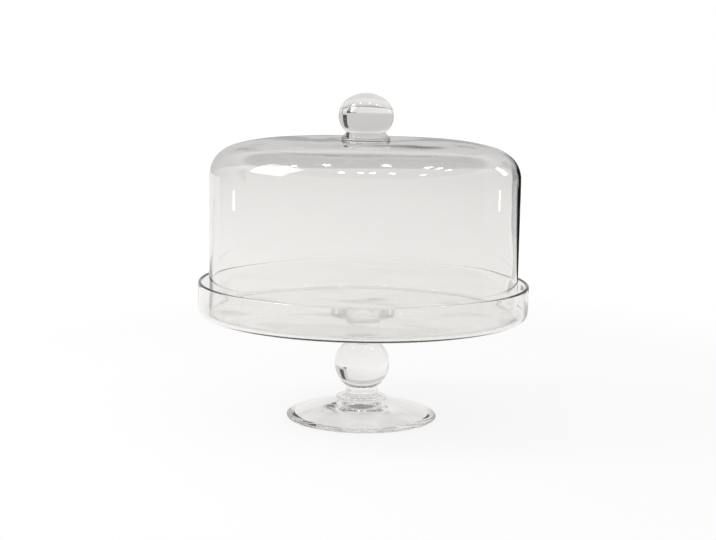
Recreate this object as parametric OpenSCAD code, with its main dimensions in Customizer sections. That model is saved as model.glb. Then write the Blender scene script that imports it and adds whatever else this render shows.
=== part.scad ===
// Footed cake stand with a lift-off dome cover, all of clear hand-made glass.
// The stand is a shallow dish on a ball stem and a flared foot, and the cover is a dome with a ball knob.
// Every piece is turned about +Z, and the origin is the middle of the ring that the foot rests on.

/* [Dish] */
// Diameter over the upright rim
dish_d = 300; // [240:1:360]
// Height from the underside to the lip
dish_h = 30.7; // [22:0.1:45]
// Thickness of the upright rim
dish_wall = 3.2; // [2.4:0.1:5]
// Thickness of the floor
dish_floor = 3; // [2:0.5:6]
// Radius of the outer corner between the underside and the rim
dish_corner_r = 7; // [4:0.5:12]
// Radius of the inner corner between the floor and the rim
well_corner_r = 4; // [2:0.5:8]

/* [Stem] */
// Diameter of the ball
ball_d = 50.2; // [42:0.2:64]
// Diameter of the neck above the ball
upper_neck_d = 30; // [20:0.5:36]
// Diameter of the collar under the dish
upper_collar_d = 58; // [48:0.5:80]
// Height of the upper collar from the ball to the dish
upper_collar_h = 25.8; // [18:0.1:40]
// Thickness of the upper collar's edge
upper_edge_t = 3.4; // [2:0.1:5]
// Radius of the cove between the upper neck and its collar
upper_cove_r = 10; // [4:0.5:12]
// Diameter of the neck under the ball
lower_neck_d = 29.4; // [22:0.2:38]
// Diameter of the collar disc on the foot
lower_collar_d = 47.2; // [42:0.2:60]
// Height of the lower collar from the foot to the ball
lower_collar_h = 12; // [9:0.5:18]
// Thickness of the lower collar's edge
lower_edge_t = 2.4; // [1.6:0.1:4]
// Radius of the cove between the lower neck and its collar
lower_cove_r = 4; // [2:0.5:5]

/* [Foot] */
// Diameter of the foot
foot_d = 137.5; // [110:0.5:180]
// Height of the foot
foot_h = 17; // [12:0.1:24]
// Thickness of the foot's rounded edge
foot_edge_t = 3.2; // [2.4:0.1:5]
// Radius of the bend just inside the edge, seen in section
foot_bend_r = 14; // [8:0.5:20]
// Radius of the foot's swelling upper side, seen in section
foot_swell_r = 900; // [300:10:1500]
// Width of the ring that the foot rests on
foot_ring_w = 7; // [4:0.5:12]
// Thickness of the glass between the hollow under the foot and its top
foot_crown_t = 7.5; // [5:0.5:10]

/* [Dome] */
// Height from the rim to the flat of the top
dome_h = 155.6; // [110:0.1:220]
// Thickness of the dome
dome_wall = 3; // [2:0.1:5]
// Gap between the dome's rim and the dish's inner corner
seat_gap = 2.5; // [1:0.1:8]
// Gap under the dome's rim, which stands on a few high spots only
rest_gap = 0.2; // [0.1:0.05:0.5]
// Width of the flat that the dome's rim rests on
rim_flat = 0.8; // [0.4:0.1:1.6]
// Radius of the shoulder where it leaves the wall
shoulder_side_r = 27; // [18:0.5:32]
// Radius of the shoulder where it turns inwards
shoulder_top_r = 36; // [33:0.5:60]
// Radius of the last bend into the flat of the top
crown_edge_r = 140; // [80:1:240]

/* [Knob] */
// Diameter of the knob
knob_d = 50; // [44:0.5:58]
// Height that the knob would have if it were not cut at its waist
knob_h = 41; // [38:0.5:46]
// Diameter of the waist between the knob and its collar
knob_waist_d = 35.4; // [28:0.2:40]
// Diameter of the collar on the dome
knob_collar_d = 44.6; // [42:0.2:60]
// Thickness of the collar's rounded edge
knob_edge_t = 2.4; // [1.6:0.2:4]

/* [Hidden] */
$fn = 96;
// The foot's swell is so slight a curve that its circle needs more steps than the rest
swell_fn = 720;
clear_glass = [0.88, 0.93, 0.92, 0.45];

// Neighbouring parts of an outline touch in these directions, taken from whole-number right-angled triangles,
// so that they meet without a corner
slant = [21, 20] / 29;
steep = [3, 4] / 5;
shallow = [7, 24] / 25;

// A slice of a disc ends at its top, and is cut out by a fan of steps that reaches this far past the disc
slice_end = 90;
slice_steps = 4;
slice_reach = 1.5;

// Heights that come from a root are rounded to this step, so that stacked pieces meet exactly
height_step = 0.001;

// Radii of the stand
dish_r = dish_d / 2;
well_r = dish_r - dish_wall;
lip_r = dish_wall / 2;
ball_r = ball_d / 2;
upper_neck_r = upper_neck_d / 2;
lower_neck_r = lower_neck_d / 2;
upper_collar_r = upper_collar_d / 2;
upper_edge_r = upper_edge_t / 2;
lower_collar_r = lower_collar_d / 2;
lower_edge_r = lower_edge_t / 2;

// Heights of the stand, stacked from the foot up
ball_base_z = foot_h + lower_collar_h;
ball_z = ball_base_z + settled(leg(ball_r, lower_neck_r));
ball_top_z = ball_z + settled(leg(ball_r, upper_neck_r));
dish_z = ball_top_z + upper_collar_h;
floor_z = dish_z + dish_floor;

// The foot's section is an edge, a bend and a swell, and its seat is as wide as the disc that stands on it
foot_seat_r = lower_collar_r - lower_edge_r;
foot_edge_r = foot_edge_t / 2;
foot_edge_c = [foot_d / 2 - foot_edge_r, foot_edge_r];
foot_bend_c = foot_edge_c - (foot_bend_r - foot_edge_r) * steep;
foot_swell_c = foot_bend_c - (foot_swell_r - foot_bend_r) * shallow;
foot_hollow_r = foot_edge_c.x - foot_ring_w;
foot_hollow_h = foot_h - foot_crown_t;
foot_hollow_sphere_r = (foot_hollow_r * foot_hollow_r + foot_hollow_h * foot_hollow_h) / (2 * foot_hollow_h);

// The dome stands on the flat of the dish's floor, and its section is a wall, three bends and a flat
dome_r = well_r - well_corner_r - seat_gap;
rim_r = (dome_wall - rim_flat) / 2;
rim_z = floor_z + rest_gap;
seat_z = rim_z + dome_h;
shoulder_side_x = dome_r - shoulder_side_r;
shoulder_top_x = shoulder_side_x - (shoulder_top_r - shoulder_side_r) * steep.x;
crown_edge_c = [shoulder_top_x - (crown_edge_r - shoulder_top_r) * shallow.x, dome_h - crown_edge_r];
shoulder_top_c = crown_edge_c + (crown_edge_r - shoulder_top_r) * shallow;
shoulder_side_c = shoulder_top_c + (shoulder_top_r - shoulder_side_r) * steep;

// The knob's collar slopes from its rounded edge to the waist
knob_waist_r = knob_waist_d / 2;
knob_edge_r = knob_edge_t / 2;
knob_edge_c = [knob_collar_d / 2 - knob_edge_r, knob_edge_r];
knob_slope_base = knob_edge_c + knob_edge_r * slant;
knob_collar_h = knob_slope_base.y + (knob_slope_base.x - knob_waist_r) * slant.x / slant.y;

// The knob's section is an oval with a side arc and a cap arc, cut flat at its waist
knob_r = knob_d / 2;
knob_side_r = (knob_h / 2 * steep.x - knob_r * (1 - steep.y)) / (steep.x + steep.y - 1);
knob_side_x = knob_r - knob_side_r;
knob_cap_r = knob_side_r + knob_side_x / steep.x;
knob_cap_drop = knob_cap_r - knob_h / 2;
knob_waist_drop = settled(leg(knob_side_r, knob_waist_r - knob_side_x));
knob_z = seat_z + knob_collar_h + knob_waist_drop;

// The point at distance 1 in a direction
function polar(angle) = [cos(angle), sin(angle)];

// The direction of a vector
function heading(v) = atan2(v.y, v.x);

// The other short side of a right-angled triangle
function leg(long, short) = sqrt(long * long - short * short);

// A height rounded to the step
function settled(z) = round(z / height_step) * height_step;

// A slice of a disc, from an angle to its top
module slice(r, from) {
    step = (slice_end - from) / slice_steps;
    intersection() {
        circle(r);
        polygon([[0, 0], for (i = [0:slice_steps]) slice_reach * r * polar(from + i * step)]);
    }
}

// A disc with a round edge, standing on y = 0
module edged_disc(r, edge_r) {
    square([r - edge_r, 2 * edge_r]);
    translate([r - edge_r, edge_r]) circle(edge_r);
}

// A tub or its hollow, standing on y = 0, with a rounded corner at its foot
module round_footed(r, corner_r, h) {
    square([r - corner_r, h]);
    translate([0, corner_r]) square([r, h - corner_r]);
    translate([r - corner_r, corner_r]) circle(corner_r);
}

// A neck that widens in a cove to a round-edged collar, which stands on y = 0
module coved_collar(collar_r, edge_r, neck_r, h, cove_r) {
    fitted_r = min(cove_r, collar_r - edge_r - neck_r, h - 2 * edge_r);
    cove_end = [neck_r + fitted_r, 2 * edge_r + fitted_r];
    edged_disc(collar_r, edge_r);
    square([neck_r, h]);
    difference() {
        square(cove_end);
        translate(cove_end) circle(fitted_r);
    }
}

// The dome's section filled in to its axis, with the whole outline drawn in by an inset
module dome_fill(inset) {
    translate([0, rim_r]) square([dome_r - inset, shoulder_side_c.y - rim_r]);
    translate(shoulder_side_c) circle(shoulder_side_r - inset);
    translate(shoulder_top_c) slice(shoulder_top_r - inset, heading(steep));
    translate(crown_edge_c) {
        slice(crown_edge_r - inset, heading(shallow));
        translate([-crown_edge_c.x, 0]) square([crown_edge_c.x, crown_edge_r - inset]);
    }
}

module dome() {
    color(clear_glass) translate([0, 0, rim_z]) rotate_extrude() union() {
        // The wall, the three bends of the shoulder and the flat of the top
        difference() {
            dome_fill(0);
            dome_fill(dome_wall);
        }
        // The rim, ground flat between two rounded edges
        translate([dome_r - dome_wall, 0]) {
            translate([rim_r, 0]) square([rim_flat, dome_wall]);
            for (x = [rim_r, dome_wall - rim_r]) translate([x, rim_r]) circle(rim_r);
        }
    }
}

module knob_collar() {
    color(clear_glass) translate([0, 0, seat_z]) rotate_extrude() union() {
        polygon([
            [0, 0], [knob_edge_c.x, 0], knob_edge_c, knob_slope_base,
            [knob_waist_r, knob_collar_h], [0, knob_collar_h]
        ]);
        translate(knob_edge_c) circle(knob_edge_r);
    }
}

module knob() {
    color(clear_glass) translate([0, 0, knob_z]) rotate_extrude() intersection() {
        union() {
            translate([0, -knob_waist_drop]) square([knob_side_x, knob_waist_drop]);
            translate([knob_side_x, 0]) circle(knob_side_r);
            translate([0, -knob_cap_drop]) slice(knob_cap_r, heading(steep));
        }
        translate([0, -knob_waist_drop]) square([knob_r, knob_waist_drop + knob_h]);
    }
}

module dish() {
    color(clear_glass) translate([0, 0, dish_z]) rotate_extrude() difference() {
        union() {
            round_footed(dish_r, dish_corner_r, dish_h - lip_r);
            translate([dish_r - lip_r, dish_h - lip_r]) circle(lip_r);
        }
        translate([0, dish_floor]) round_footed(well_r, well_corner_r, dish_h);
    }
}

module upper_stem_collar() {
    color(clear_glass) translate([0, 0, dish_z]) rotate_extrude() mirror([0, 1])
        coved_collar(upper_collar_r, upper_edge_r, upper_neck_r, upper_collar_h, upper_cove_r);
}

module stem_ball() {
    color(clear_glass) translate([0, 0, ball_z]) rotate_extrude() intersection() {
        circle(ball_r);
        translate([0, ball_base_z - ball_z]) square([ball_r, ball_top_z - ball_base_z]);
    }
}

module lower_stem_collar() {
    color(clear_glass) translate([0, 0, foot_h]) rotate_extrude()
        coved_collar(lower_collar_r, lower_edge_r, lower_neck_r, lower_collar_h, lower_cove_r);
}

module foot() {
    color(clear_glass) rotate_extrude() difference() {
        union() {
            // The seat under the stem
            square([foot_seat_r, foot_h]);
            // The base, the rounded edge, the bend and the swell
            square(foot_edge_c);
            translate(foot_edge_c) circle(foot_edge_r);
            intersection() {
                union() {
                    translate(foot_bend_c) slice(foot_bend_r, heading(steep));
                    translate(foot_swell_c) slice(foot_swell_r, heading(shallow), $fn = swell_fn);
                }
                square([foot_d / 2, foot_h]);
            }
        }
        // The hollow under the foot
        translate([0, foot_hollow_h - foot_hollow_sphere_r]) circle(foot_hollow_sphere_r);
    }
}

dome();
knob_collar();
knob();
dish();
upper_stem_collar();
stem_ball();
lower_stem_collar();
foot();
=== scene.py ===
"""Clear glass cake stand with a lift-off dome cover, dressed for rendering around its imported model."""
import math

import bmesh
import bpy
from mathutils import Matrix, Vector, noise


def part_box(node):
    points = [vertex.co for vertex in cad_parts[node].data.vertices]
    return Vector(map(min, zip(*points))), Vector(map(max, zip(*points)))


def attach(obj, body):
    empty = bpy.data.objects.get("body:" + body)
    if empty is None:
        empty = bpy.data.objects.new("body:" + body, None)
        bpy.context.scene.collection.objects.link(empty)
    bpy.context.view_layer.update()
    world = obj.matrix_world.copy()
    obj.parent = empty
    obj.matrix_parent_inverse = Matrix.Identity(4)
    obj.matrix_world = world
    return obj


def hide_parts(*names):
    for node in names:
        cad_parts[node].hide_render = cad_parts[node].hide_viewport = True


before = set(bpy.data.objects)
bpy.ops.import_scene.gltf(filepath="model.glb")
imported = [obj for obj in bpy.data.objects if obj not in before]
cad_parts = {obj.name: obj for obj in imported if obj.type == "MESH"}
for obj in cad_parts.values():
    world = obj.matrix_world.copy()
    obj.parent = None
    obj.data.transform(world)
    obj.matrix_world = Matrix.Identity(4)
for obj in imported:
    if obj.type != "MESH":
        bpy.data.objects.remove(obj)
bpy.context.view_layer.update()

scene = bpy.context.scene

# Fineness of the turned meshes
SEGMENTS = 192
ARC_STEP = math.radians(6)
POINT_SPACING = 0.004
SHARP_ANGLE = math.radians(10)
TOUCH = 1e-6

# Neighbouring parts of a section touch in these directions, in degrees
SLANT = math.degrees(math.atan2(20, 21))
STEEP = math.degrees(math.atan2(4, 3))
SHALLOW = math.degrees(math.atan2(24, 7))

# Sizes of the sections, in metres, that a piece's box does not give
DISH_WALL = 0.0032
DISH_FLOOR = 0.003
DISH_CORNER_R = 0.007
WELL_CORNER_R = 0.004
UPPER_NECK_R = 0.015
UPPER_EDGE_R = 0.0017
UPPER_COVE_R = 0.010
LOWER_NECK_R = 0.0147
LOWER_EDGE_R = 0.0012
LOWER_COVE_R = 0.004
FOOT_EDGE_R = 0.0016
FOOT_BEND_R = 0.014
FOOT_SWELL_R = 0.900
FOOT_RING_W = 0.007
FOOT_CROWN_T = 0.0075
DOME_WALL = 0.003
RIM_FLAT = 0.0008
SHOULDER_SIDE_R = 0.027
SHOULDER_TOP_R = 0.036
CROWN_EDGE_R = 0.140
KNOB_H = 0.041
KNOB_WAIST_R = 0.0177
KNOB_EDGE_R = 0.0012

# The photograph's frame and the camera that was fitted to it, in pixels, metres and degrees
PHOTO_W = 716
FOCAL_PX = 1500
SENSOR_MM = 36
CAMERA_PLACE = (-0.0051, -1.3522, 0.3281)
CAMERA_PITCH = 8.107
CAMERA_ROLL = 0.95

# Depth and size of the slow waves in each piece's surface, in metres
WAVES = {
    "dome": (0.00035, 0.060),
    "knob_collar": (0.00008, 0.015),
    "knob": (0.00012, 0.025),
    "dish": (0.0002, 0.050),
    "upper_stem_collar": (0.0001, 0.020),
    "stem_ball": (0.00012, 0.025),
    "lower_stem_collar": (0.0001, 0.020),
    "foot": (0.00015, 0.035),
}

# The two glasses, with the depth and size of the finer waves in their shading, in metres
FINE_WAVES = {"blown_glass": (0.00015, 0.045), "solid_glass": (0.0001, 0.020)}
GLASS_TINT = (0.985, 0.985, 0.98, 1)
GLASS_SHADOW = (0.93, 0.93, 0.93, 1)
GLASS_IOR = 1.5

# Wipe marks on the glass: size in metres, noise levels that they start and end at, and roughness
WIPE_SIZE = 0.025
WIPE_START = 0.45
WIPE_END = 0.8
WIPE_ROUGHNESS = 0.02

# Colours of the studio, and the heights of its floor and of the cards just above it, in metres
WHITE = (1, 1, 1, 1)
PAPER = (1, 0.98, 0.965)
DARK = (0.02, 0.02, 0.02, 1)
FLOOR_Z = -0.0002
CARD_Z = 0.001


# The camera

def make_camera():
    """The camera as it was fitted to the photograph."""
    data = bpy.data.cameras.new("camera")
    data.sensor_width = SENSOR_MM
    data.lens = FOCAL_PX / PHOTO_W * SENSOR_MM
    camera = bpy.data.objects.new("camera", data)
    tilt = Matrix.Rotation(math.radians(90 - CAMERA_PITCH), 4, "X")
    roll = Matrix.Rotation(math.radians(CAMERA_ROLL), 4, "Z")
    camera.matrix_world = Matrix.Translation(CAMERA_PLACE) @ tilt @ roll
    scene.collection.objects.link(camera)
    scene.camera = camera


# Sections and turned meshes

def polar(degrees):
    """The direction at an angle, in a section."""
    return Vector((math.cos(math.radians(degrees)), math.sin(math.radians(degrees))))


def line(start, end):
    """Evenly spaced points of a section from start up to, but not at, end."""
    start, end = Vector(start), Vector(end)
    steps = max(1, math.ceil((end - start).length / POINT_SPACING))
    return [start.lerp(end, i / steps) for i in range(steps)]


def arc(centre, radius, start, end):
    """Points of a section on an arc between two angles in degrees, without the last one."""
    sweep = math.radians(abs(end - start))
    steps = max(2, math.ceil(sweep / ARC_STEP), math.ceil(sweep * radius / POINT_SPACING))
    return [Vector(centre) + radius * polar(start + (end - start) * i / steps) for i in range(steps)]


def on_join(point, joins):
    """True if a point lies on one of the flat discs where a piece is fused to its neighbour."""
    return any(abs(point.z - z) < TOUCH and point.xy.length < r + TOUCH for r, z in joins)


def turned(name, outline, joins):
    """A closed mesh turned about +Z from an outline that starts and ends on the axis.

    joins holds the radius and height of each disc where the piece is fused to its neighbour, and the faces
    there take the second material.
    """
    mesh = bmesh.new()
    turns = [2 * math.pi * i / SEGMENTS for i in range(SEGMENTS)]
    rings = []
    for r, z in outline:
        places = [(r * math.cos(a), r * math.sin(a), z) for a in turns] if r > TOUCH else [(0, 0, z)]
        rings.append([mesh.verts.new(place) for place in places])
    for low, high in zip(rings, rings[1:]):
        for i in range(SEGMENTS):
            j = (i + 1) % SEGMENTS
            corners = [low[i % len(low)], low[j % len(low)], high[j % len(high)], high[i % len(high)]]
            mesh.faces.new(list(dict.fromkeys(corners)))
    bmesh.ops.recalc_face_normals(mesh, faces=mesh.faces)
    for face in mesh.faces:
        face.smooth = True
        face.material_index = int(all(on_join(v.co, joins) for v in face.verts))
    for edge in mesh.edges:
        same_material = len({face.material_index for face in edge.link_faces}) == 1
        edge.smooth = same_material and edge.calc_face_angle() < SHARP_ANGLE
    data = bpy.data.meshes.new(name)
    mesh.to_mesh(data)
    mesh.free()
    piece = bpy.data.objects.new(name, data)
    scene.collection.objects.link(piece)
    return piece


def ripple(piece, depth, size, joins):
    """Sinks the surface by up to depth in slow waves of about that size, and leaves the joins as they are."""
    data = piece.data
    offset = Vector((len(piece.name), len(data.vertices) % 17, 0.5))
    moved = []
    for v in data.vertices:
        level = 0 if on_join(v.co, joins) else (1 - noise.noise(v.co / size + offset)) / 2
        moved.append(v.co - v.normal * depth * level)
    for v, place in zip(data.vertices, moved):
        v.co = place


def coved_collar(collar_r, edge_r, neck_r, cove_r, base_z, end_z):
    """The outline of a neck that widens in a cove to a round-edged collar, which stands on base_z."""
    up = 1 if end_z > base_z else -1
    height = abs(end_z - base_z)
    local = line((0, 0), (collar_r - edge_r, 0))
    local += arc((collar_r - edge_r, edge_r), edge_r, -90, 90)
    local += line((collar_r - edge_r, 2 * edge_r), (neck_r + cove_r, 2 * edge_r))
    local += arc((neck_r + cove_r, 2 * edge_r + cove_r), cove_r, 270, 180)
    local += line((neck_r, 2 * edge_r + cove_r), (neck_r, height))
    local += line((neck_r, height), (0, height))
    local += [Vector((0, height))]
    return [Vector((r, base_z + up * y)) for r, y in local]


# The pieces

def make_piece(node, body, slot, outline, joins, glasses):
    """Turns the piece of a node from its outline and gives it its waves, its body and the glass that slot
    names.
    """
    piece = turned(f"{node}_glass", outline, joins)
    ripple(piece, *WAVES[node], joins)
    for material in glasses[slot]:
        piece.data.materials.append(material)
    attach(piece, body)
    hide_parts(node)


def make_dome(glasses, join_r):
    low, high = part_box("dome")
    radius, rim_z, top_z = high.x, low.z, high.z
    rim_r = (DOME_WALL - RIM_FLAT) / 2
    side_x = radius - SHOULDER_SIDE_R
    top_x = side_x - (SHOULDER_TOP_R - SHOULDER_SIDE_R) * polar(STEEP).x
    crown_c = Vector((top_x - (CROWN_EDGE_R - SHOULDER_TOP_R) * polar(SHALLOW).x, top_z - CROWN_EDGE_R))
    top_c = crown_c + (CROWN_EDGE_R - SHOULDER_TOP_R) * polar(SHALLOW)
    side_c = top_c + (SHOULDER_TOP_R - SHOULDER_SIDE_R) * polar(STEEP)
    inner = radius - DOME_WALL
    ceiling_z = top_z - DOME_WALL
    outline = line((0, ceiling_z), (crown_c.x, ceiling_z))
    outline += arc(crown_c, CROWN_EDGE_R - DOME_WALL, 90, SHALLOW)
    outline += arc(top_c, SHOULDER_TOP_R - DOME_WALL, SHALLOW, STEEP)
    outline += arc(side_c, SHOULDER_SIDE_R - DOME_WALL, STEEP, 0)
    outline += line((inner, side_c.y), (inner, rim_z + rim_r))
    outline += arc((inner + rim_r, rim_z + rim_r), rim_r, 180, 270)
    outline += line((inner + rim_r, rim_z), (radius - rim_r, rim_z))
    outline += arc((radius - rim_r, rim_z + rim_r), rim_r, 270, 360)
    outline += line((radius, rim_z + rim_r), (radius, side_c.y))
    outline += arc(side_c, SHOULDER_SIDE_R, 0, STEEP)
    outline += arc(top_c, SHOULDER_TOP_R, STEEP, SHALLOW)
    outline += arc(crown_c, CROWN_EDGE_R, SHALLOW, 90)
    outline += line((crown_c.x, top_z), (join_r, top_z))
    outline += line((join_r, top_z), (0, top_z))
    outline += [Vector((0, top_z))]
    joins = [(join_r, top_z)]
    make_piece("dome", "cover", "blown_glass", outline, joins, glasses)


def make_knob_collar(glasses):
    low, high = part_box("knob_collar")
    edge_c = Vector((high.x - KNOB_EDGE_R, low.z + KNOB_EDGE_R))
    slope_base = edge_c + KNOB_EDGE_R * polar(SLANT)
    outline = line((0, low.z), (edge_c.x, low.z))
    outline += arc(edge_c, KNOB_EDGE_R, -90, SLANT)
    outline += line(slope_base, (KNOB_WAIST_R, high.z))
    outline += line((KNOB_WAIST_R, high.z), (0, high.z))
    outline += [Vector((0, high.z))]
    joins = [(edge_c.x, low.z), (KNOB_WAIST_R, high.z)]
    make_piece("knob_collar", "cover", "solid_glass", outline, joins, glasses)
    return edge_c.x


def make_knob(glasses):
    low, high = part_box("knob")
    radius = high.x
    middle_z = high.z - KNOB_H / 2
    steep = polar(STEEP)
    side_r = (KNOB_H / 2 * steep.x - radius * (1 - steep.y)) / (steep.x + steep.y - 1)
    side_x = radius - side_r
    cap_r = side_r + side_x / steep.x
    waist_angle = math.degrees(math.asin((low.z - middle_z) / side_r))
    outline = line((0, low.z), (KNOB_WAIST_R, low.z))
    outline += arc((side_x, middle_z), side_r, waist_angle, STEEP)
    outline += arc((0, high.z - cap_r), cap_r, STEEP, 90)
    outline += [Vector((0, high.z))]
    joins = [(KNOB_WAIST_R, low.z)]
    make_piece("knob", "cover", "solid_glass", outline, joins, glasses)


def make_dish(glasses, join_r):
    low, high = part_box("dish")
    radius, base_z, lip_z = high.x, low.z, high.z
    lip_r = DISH_WALL / 2
    well_r = radius - DISH_WALL
    floor_z = base_z + DISH_FLOOR
    outline = line((0, base_z), (join_r, base_z))
    outline += line((join_r, base_z), (radius - DISH_CORNER_R, base_z))
    outline += arc((radius - DISH_CORNER_R, base_z + DISH_CORNER_R), DISH_CORNER_R, -90, 0)
    outline += line((radius, base_z + DISH_CORNER_R), (radius, lip_z - lip_r))
    outline += arc((radius - lip_r, lip_z - lip_r), lip_r, 0, 180)
    outline += line((well_r, lip_z - lip_r), (well_r, floor_z + WELL_CORNER_R))
    outline += arc((well_r - WELL_CORNER_R, floor_z + WELL_CORNER_R), WELL_CORNER_R, 0, -90)
    outline += line((well_r - WELL_CORNER_R, floor_z), (0, floor_z))
    outline += [Vector((0, floor_z))]
    joins = [(join_r, base_z)]
    make_piece("dish", "stand", "blown_glass", outline, joins, glasses)


def make_upper_collar(glasses):
    low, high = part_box("upper_stem_collar")
    outline = coved_collar(high.x, UPPER_EDGE_R, UPPER_NECK_R, UPPER_COVE_R, high.z, low.z)
    join_r = high.x - UPPER_EDGE_R
    joins = [(join_r, high.z), (UPPER_NECK_R, low.z)]
    make_piece("upper_stem_collar", "stand", "solid_glass", outline, joins, glasses)
    return join_r


def make_ball(glasses):
    low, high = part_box("stem_ball")
    radius = high.x
    drop = math.sqrt(radius ** 2 - LOWER_NECK_R ** 2)
    rise = math.sqrt(radius ** 2 - UPPER_NECK_R ** 2)
    centre = (0, low.z + drop)
    start = -math.degrees(math.asin(drop / radius))
    end = math.degrees(math.asin(rise / radius))
    outline = line((0, low.z), (LOWER_NECK_R, low.z))
    outline += arc(centre, radius, start, end)
    outline += line((UPPER_NECK_R, high.z), (0, high.z))
    outline += [Vector((0, high.z))]
    joins = [(LOWER_NECK_R, low.z), (UPPER_NECK_R, high.z)]
    make_piece("stem_ball", "stand", "solid_glass", outline, joins, glasses)


def make_lower_collar(glasses):
    low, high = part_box("lower_stem_collar")
    outline = coved_collar(high.x, LOWER_EDGE_R, LOWER_NECK_R, LOWER_COVE_R, low.z, high.z)
    join_r = high.x - LOWER_EDGE_R
    joins = [(join_r, low.z), (LOWER_NECK_R, high.z)]
    make_piece("lower_stem_collar", "stand", "solid_glass", outline, joins, glasses)
    return join_r


def make_foot(glasses, seat_r):
    low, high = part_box("foot")
    edge_c = Vector((high.x - FOOT_EDGE_R, FOOT_EDGE_R))
    bend_c = edge_c - (FOOT_BEND_R - FOOT_EDGE_R) * polar(STEEP)
    swell_c = bend_c - (FOOT_SWELL_R - FOOT_BEND_R) * polar(SHALLOW)
    hollow_r = edge_c.x - FOOT_RING_W
    hollow_h = high.z - FOOT_CROWN_T
    sphere_r = (hollow_r ** 2 + hollow_h ** 2) / (2 * hollow_h)
    hollow_end = math.degrees(math.acos(hollow_r / sphere_r))
    swell_end = math.degrees(math.acos((seat_r - swell_c.x) / FOOT_SWELL_R))
    outline = arc((0, hollow_h - sphere_r), sphere_r, 90, hollow_end)
    outline += line((hollow_r, low.z), (edge_c.x, low.z))
    outline += arc(edge_c, FOOT_EDGE_R, -90, STEEP)
    outline += arc(bend_c, FOOT_BEND_R, STEEP, SHALLOW)
    outline += arc(swell_c, FOOT_SWELL_R, SHALLOW, swell_end)
    outline += line(swell_c + FOOT_SWELL_R * polar(swell_end), (seat_r, high.z))
    outline += line((seat_r, high.z), (0, high.z))
    outline += [Vector((0, high.z))]
    joins = [(seat_r, high.z)]
    make_piece("foot", "stand", "blown_glass", outline, joins, glasses)


# Materials

def new_material(name):
    """An empty node material, with its nodes and links."""
    material = bpy.data.materials.new(name)
    material.use_nodes = True
    nodes = material.node_tree.nodes
    nodes.clear()
    return material, nodes, material.node_tree.links


def glass(name, wave_depth, wave_size):
    """Clear polished glass with fine waves in its surface and faint wipe marks in its gloss."""
    material, nodes, links = new_material(name)
    surface = nodes.new("ShaderNodeBsdfPrincipled")
    surface.inputs["Base Color"].default_value = GLASS_TINT
    surface.inputs["Transmission Weight"].default_value = 1
    surface.inputs["IOR"].default_value = GLASS_IOR
    place = nodes.new("ShaderNodeTexCoord")
    waves = nodes.new("ShaderNodeTexNoise")
    waves.inputs["Scale"].default_value = 1 / wave_size
    waves.inputs["Detail"].default_value = 1
    bump = nodes.new("ShaderNodeBump")
    bump.inputs["Strength"].default_value = 1
    bump.inputs["Distance"].default_value = wave_depth
    wipes = nodes.new("ShaderNodeTexNoise")
    wipes.inputs["Scale"].default_value = 1 / WIPE_SIZE
    wipes.inputs["Detail"].default_value = 4
    film = nodes.new("ShaderNodeMapRange")
    film.inputs["From Min"].default_value = WIPE_START
    film.inputs["From Max"].default_value = WIPE_END
    film.inputs["To Min"].default_value = 0
    film.inputs["To Max"].default_value = WIPE_ROUGHNESS
    links.new(place.outputs["Object"], waves.inputs["Vector"])
    links.new(place.outputs["Object"], wipes.inputs["Vector"])
    links.new(waves.outputs["Fac"], bump.inputs["Height"])
    links.new(bump.outputs["Normal"], surface.inputs["Normal"])
    links.new(wipes.outputs["Fac"], film.inputs["Value"])
    links.new(film.outputs["Result"], surface.inputs["Roughness"])
    # Lamps shine through with a little loss, so the glass casts a light shadow
    rays = nodes.new("ShaderNodeLightPath")
    through = nodes.new("ShaderNodeBsdfTransparent")
    through.inputs["Color"].default_value = GLASS_SHADOW
    mix = nodes.new("ShaderNodeMixShader")
    output = nodes.new("ShaderNodeOutputMaterial")
    links.new(rays.outputs["Is Shadow Ray"], mix.inputs[0])
    links.new(surface.outputs[0], mix.inputs[1])
    links.new(through.outputs[0], mix.inputs[2])
    links.new(mix.outputs[0], output.inputs["Surface"])
    return material


def fused():
    """The inside of a hot join, where one piece's glass runs on into the next and nothing shows."""
    material, nodes, links = new_material("fused_join")
    through = nodes.new("ShaderNodeBsdfTransparent")
    output = nodes.new("ShaderNodeOutputMaterial")
    links.new(through.outputs[0], output.inputs["Surface"])
    return material


# The studio

def eye_rays(nodes, links):
    """1 for the rays that the camera sends, also by way of gloss and glass, and 0 for the others."""
    rays = nodes.new("ShaderNodeLightPath")
    largest = rays.outputs["Is Camera Ray"]
    for name in ("Is Glossy Ray", "Is Transmission Ray"):
        pick = nodes.new("ShaderNodeMath")
        pick.operation = "MAXIMUM"
        links.new(largest, pick.inputs[0])
        links.new(rays.outputs[name], pick.inputs[1])
        largest = pick.outputs[0]
    return largest


def stage_mesh(name, corners, faces, material):
    """A mesh that belongs to the studio and not to the object."""
    data = bpy.data.meshes.new(name)
    data.from_pydata(corners, [], faces)
    data.materials.append(material)
    item = bpy.data.objects.new(name, data)
    scene.collection.objects.link(item)
    return item


def paint(ramp, stops):
    """Sets a colour ramp's stops, each a place from 0 to 1 and a tone of the warm white paper."""
    elements = ramp.color_ramp.elements
    for _ in range(len(stops) - len(elements)):
        elements.new(0.5)
    for element, (place, tone) in zip(elements, stops):
        element.position = place
        element.color = [tone * channel for channel in PAPER] + [1]


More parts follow.
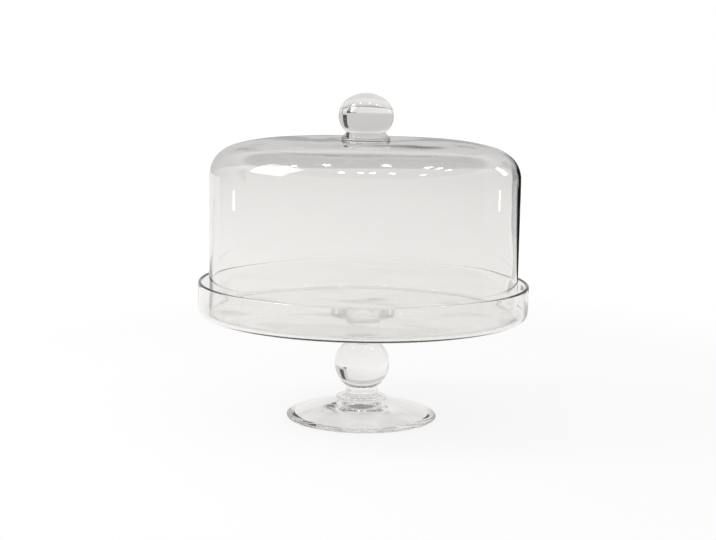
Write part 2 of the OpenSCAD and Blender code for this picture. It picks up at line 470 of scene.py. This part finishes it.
def make_floor():
    """White to the camera, with the object's shadow, and to gloss and glass a glowing paper with painted
    shade that darkens it outwards.
    """
    half = 8
    # Glow tones that gloss and glass see, by distance from the middle: painted shade that darkens the floor
    # outwards
    tones = ((0.5, 0.93), (1.0, 0.83), (1.6, 0.73), (2.2, 0.68), (3.0, 0.53), (half, 0.55))
    shadow_r, clear_r, shadow_glow, shadow_grey, lit_grey = 0.5, 1.5, 0.81, 0.22, 0.8
    material, nodes, links = new_material("white_floor")
    rays = nodes.new("ShaderNodeLightPath")
    place = nodes.new("ShaderNodeTexCoord")
    reach = nodes.new("ShaderNodeVectorMath")
    reach.operation = "LENGTH"
    part = nodes.new("ShaderNodeMath")
    part.operation = "DIVIDE"
    part.inputs[1].default_value = half
    outward = nodes.new("ShaderNodeValToRGB")
    paint(outward, [(r / half, tone) for r, tone in tones])
    tone = nodes.new("ShaderNodeMix")
    tone.data_type = "RGBA"
    tone.inputs["B"].default_value = WHITE
    strength = nodes.new("ShaderNodeMapRange")
    strength.inputs["From Min"].default_value = shadow_r
    strength.inputs["From Max"].default_value = clear_r
    strength.inputs["To Min"].default_value = shadow_glow
    strength.inputs["To Max"].default_value = 1
    glow = nodes.new("ShaderNodeEmission")
    shade = nodes.new("ShaderNodeBsdfDiffuse")
    shade.inputs["Color"].default_value = (shadow_grey, shadow_grey, shadow_grey, 1)
    white = nodes.new("ShaderNodeAddShader")
    plain = nodes.new("ShaderNodeBsdfDiffuse")
    plain.inputs["Color"].default_value = (lit_grey, lit_grey, lit_grey, 1)
    mix = nodes.new("ShaderNodeMixShader")
    output = nodes.new("ShaderNodeOutputMaterial")
    links.new(place.outputs["Object"], reach.inputs[0])
    links.new(reach.outputs["Value"], part.inputs[0])
    links.new(part.outputs[0], outward.inputs["Fac"])
    links.new(outward.outputs["Color"], tone.inputs["A"])
    links.new(rays.outputs["Is Camera Ray"], tone.inputs["Factor"])
    links.new(tone.outputs["Result"], glow.inputs["Color"])
    links.new(reach.outputs["Value"], strength.inputs["Value"])
    links.new(strength.outputs["Result"], glow.inputs["Strength"])
    links.new(glow.outputs[0], white.inputs[0])
    links.new(shade.outputs[0], white.inputs[1])
    links.new(eye_rays(nodes, links), mix.inputs[0])
    links.new(plain.outputs[0], mix.inputs[1])
    links.new(white.outputs[0], mix.inputs[2])
    links.new(mix.outputs[0], output.inputs["Surface"])
    corners = [(x, y, FLOOR_Z) for x, y in ((-half, -half), (half, -half), (half, half), (-half, half))]
    stage_mesh("floor", corners, [range(4)], material)


def make_world():
    """White to the camera, and a room that darkens towards its ceiling to gloss, glass and the light."""
    tones = ((0, 0.6), (0.33, 0.57), (0.42, 0.62), (0.48, 0.8), (0.53, 0.78), (0.6, 0.2), (1, 0.2))
    world = bpy.data.worlds.new("studio")
    world.use_nodes = True
    nodes, links = world.node_tree.nodes, world.node_tree.links
    nodes.clear()
    place = nodes.new("ShaderNodeTexCoord")
    split = nodes.new("ShaderNodeSeparateXYZ")
    ramp = nodes.new("ShaderNodeValToRGB")
    paint(ramp, tones)
    rays = nodes.new("ShaderNodeLightPath")
    seen = nodes.new("ShaderNodeMix")
    seen.data_type = "RGBA"
    seen.inputs["B"].default_value = WHITE
    sky = nodes.new("ShaderNodeBackground")
    output = nodes.new("ShaderNodeOutputWorld")
    links.new(place.outputs["Generated"], split.inputs[0])
    links.new(split.outputs["Z"], ramp.inputs["Fac"])
    links.new(ramp.outputs["Color"], seen.inputs["A"])
    links.new(rays.outputs["Is Camera Ray"], seen.inputs["Factor"])
    links.new(seen.outputs["Result"], sky.inputs["Color"])
    links.new(sky.outputs[0], output.inputs["Surface"])
    scene.world = world


def aside(bearing, distance, z):
    """The point at a bearing in degrees, turning right from the way the camera looks."""
    turn = math.radians(bearing)
    return Vector((distance * math.sin(turn), distance * math.cos(turn), z))


def hang_card(name, places, faces, material):
    """A card that only gloss and glass show."""
    card = stage_mesh(name, [aside(*place) for place in places], faces, material)
    card.visible_camera = False
    card.visible_diffuse = False
    card.visible_shadow = False
    return card


def make_flags():
    """Dark cards right of the way the camera looks, which darken the edges on that side."""
    material, nodes, links = new_material("dark_flag")
    dark = nodes.new("ShaderNodeEmission")
    dark.inputs["Color"].default_value = DARK
    output = nodes.new("ShaderNodeOutputMaterial")
    links.new(dark.outputs[0], output.inputs["Surface"])
    near, middle, far = 0.8, 1.45, 2.6
    floor_ends = ((20, near), (27, near), (32, middle), (33, far), (14, far))
    floor_places = [(bearing, distance, CARD_Z) for bearing, distance in floor_ends]
    hang_card("floor_flag", floor_places, [range(len(floor_places))], material)
    left, right, bottom, top = 32, 45, 0.15, 1.3
    upright_places = ((left, far, bottom), (right, far, bottom), (right, far, top), (left, far, top))
    upright_flag = hang_card("upright_flag", upright_places, [range(4)], material)
    upright_flag.visible_glossy = False
    inner, outer, low, high = 0.23, 0.45, 0.183, 0.255
    shoulder_places = ((right, inner, low), (right, outer, low), (right, outer, high), (right, inner, high))
    hang_card("shoulder_flag", shoulder_places, [range(4)], material)


def make_low_card():
    """A low glowing card behind the object, with painted light that makes it lightest at its foot and its
    left end, which lightens the stem.
    """
    distance, left_end, right_end, top, count = 0.55, -60, 23.5, 0.21, 40
    # Painted light: the glow is brightest at the card's foot and falls off upwards and to the right
    tones = ((0, 0.96), (0.35, 0.91), (1, 0.83))
    left_glow, right_glow = 1.04, 0.9
    material, nodes, links = new_material("low_card")
    place = nodes.new("ShaderNodeTexCoord")
    split = nodes.new("ShaderNodeSeparateXYZ")
    ramp = nodes.new("ShaderNodeValToRGB")
    paint(ramp, tones)
    across = nodes.new("ShaderNodeMapRange")
    across.inputs["To Min"].default_value = left_glow
    across.inputs["To Max"].default_value = right_glow
    glow = nodes.new("ShaderNodeEmission")
    output = nodes.new("ShaderNodeOutputMaterial")
    links.new(place.outputs["Generated"], split.inputs[0])
    links.new(split.outputs["Z"], ramp.inputs["Fac"])
    links.new(ramp.outputs["Color"], glow.inputs["Color"])
    links.new(split.outputs["X"], across.inputs["Value"])
    links.new(across.outputs["Result"], glow.inputs["Strength"])
    links.new(glow.outputs[0], output.inputs["Surface"])
    bearings = [left_end + (right_end - left_end) * i / (count - 1) for i in range(count)]
    places = [(bearing, distance, z) for z in (CARD_Z, top) for bearing in bearings]
    faces = [(i, i + 1, count + i + 1, count + i) for i in range(count - 1)]
    hang_card("low_card", places, faces, material)


def softbox(name, place, aim, width, height, brightness):
    """A rectangular lamp whose power follows from its size and its brightness."""
    data = bpy.data.lights.new(name, "AREA")
    data.shape = "RECTANGLE"
    data.size = width
    data.size_y = height
    data.energy = brightness * math.pi * width * height
    lamp = bpy.data.objects.new(name, data)
    lamp.location = place
    lamp.rotation_euler = (Vector(aim) - Vector(place)).to_track_quat("-Z", "Y").to_euler()
    lamp.visible_camera = False
    scene.collection.objects.link(lamp)
    return lamp


def make_lights():
    """Soft lamps around the object, and two rows of small lamps under the ceiling."""
    middle = (0, 0, 0.15)
    lamps = (
        ("key", (-101, 1.1, 1.05), 0.75, 0.7, 6),
        ("left_strip", (-81, 0.6, 0.155), 0.03, 0.022, 4),
        ("right_strip", (77, 0.6, 0.16), 0.025, 0.028, 4),
        ("back_right", (60, 0.91, 0.51), 0.13, 0.27, 3),
    )
    for name, place, width, height, brightness in lamps:
        lamp = softbox(name, aside(*place), middle, width, height, brightness)
        lamp.visible_transmission = False
    ceiling_z, ceiling_w, ceiling_h, ceiling_brightness = 1.9, 0.12, 0.2, 14
    rows = (
        ("ceiling", -0.1, (-1.3, -1.1, -0.5, 0.25, 0.9, 1.15, 1.5)),
        ("front_ceiling", -1.2, (-0.5, -0.1, 0.15, 0.55, 1.4)),
    )
    for row, y, places in rows:
        for i, x in enumerate(places):
            aim = (x, y, 0)
            softbox(f"{row}_{i}", (x, y, ceiling_z), aim, ceiling_w, ceiling_h, ceiling_brightness)


scene.view_settings.view_transform = "Standard"
scene.cycles.max_bounces = 22
scene.cycles.transmission_bounces = 22
scene.cycles.glossy_bounces = 11
scene.cycles.transparent_max_bounces = 32
scene.cycles.caustics_reflective = False
scene.cycles.caustics_refractive = False

make_camera()
make_world()
make_floor()
make_flags()
make_low_card()
make_lights()

join = fused()
glasses = {slot: [glass(slot, *waves), join] for slot, waves in FINE_WAVES.items()}
make_dome(glasses, make_knob_collar(glasses))
make_knob(glasses)
make_dish(glasses, make_upper_collar(glasses))
make_ball(glasses)
make_foot(glasses, make_lower_collar(glasses))
